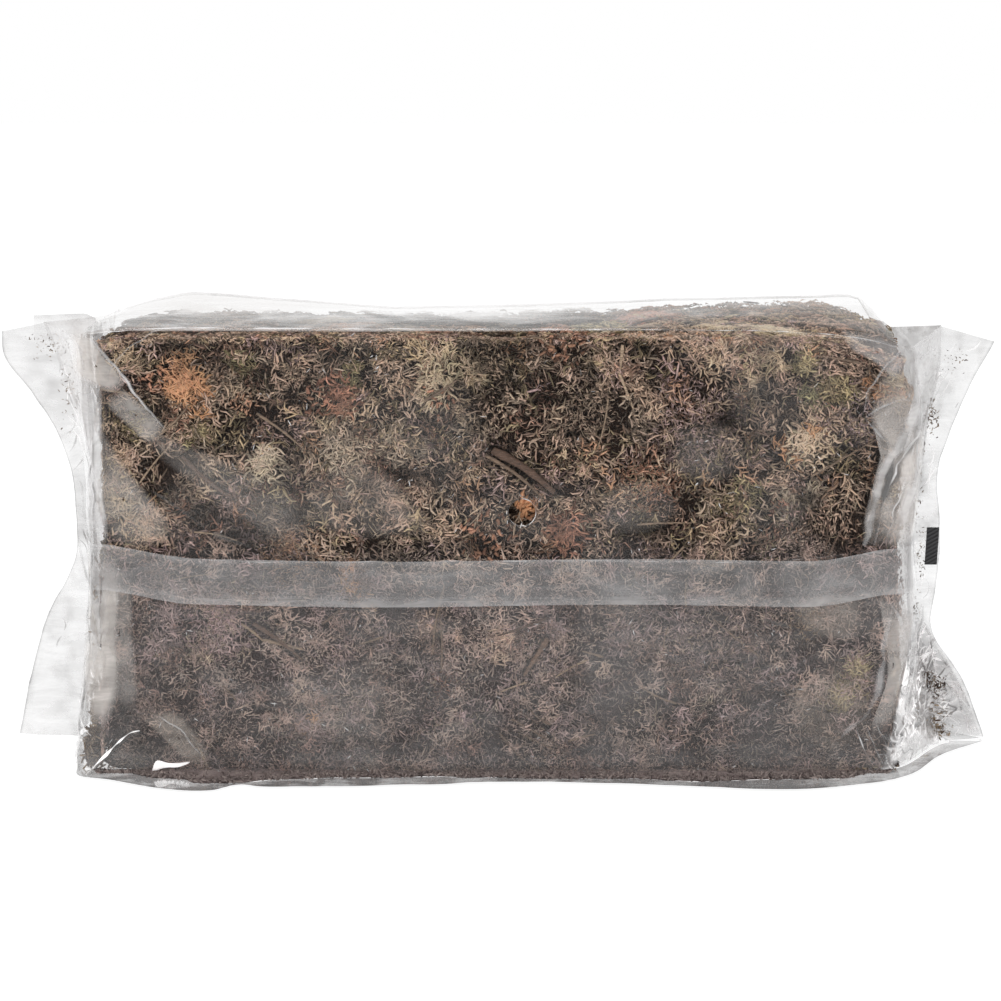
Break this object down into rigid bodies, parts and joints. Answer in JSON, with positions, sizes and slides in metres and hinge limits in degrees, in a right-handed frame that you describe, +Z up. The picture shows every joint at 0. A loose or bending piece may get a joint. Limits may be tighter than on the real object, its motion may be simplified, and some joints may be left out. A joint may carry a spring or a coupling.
{
  "type": "pressed bale of dried sphagnum moss in a clear film bag",
  "caption": "Pressed block of dried sphagnum moss with plant heads and twigs, wrapped in a clear gusseted film bag with crimped end fins, a folded front seam and an air hole.",
  "frame": {"origin": "on the floor at the middle of the bale's flat underside", "axes": "+X along the bale, -Y towards the side with the folded seam, +Z up"},
  "size_m": [0.43, 0.1714, 0.1902],
  "materials": {
    "moss": "dry matted moss strands, matt",
    "moss_ochre": "dry plant heads, matt",
    "moss_straw": "dry pale leafy stems, matt",
    "moss_green": "dry olive leafy stems, matt",
    "moss_rust": "dry red-brown leafy stems, matt",
    "twig": "dry bark",
    "film": "clear glossy film, slightly hazy"
  },
  "bodies": {
    "root": {"moss_bale": "moss", "head_ochre_1": "moss_ochre", "head_ochre_2": "moss_ochre", "head_ochre_3": "moss_ochre", "tuft_straw_1": "moss_straw", "tuft_straw_2": "moss_straw", "tuft_green_1": "moss_green", "tuft_green_2": "moss_green", "bunch_rust_1": "moss_rust", "bunch_rust_2": "moss_rust", "bunch_rust_3": "moss_rust", "twig_1": "twig", "twig_2": "twig", "twig_3": "twig", "twig_4": "twig", "twig_5": "twig", "twig_6": "twig", "film_bag": "film"}
  },
  "joints": []
}
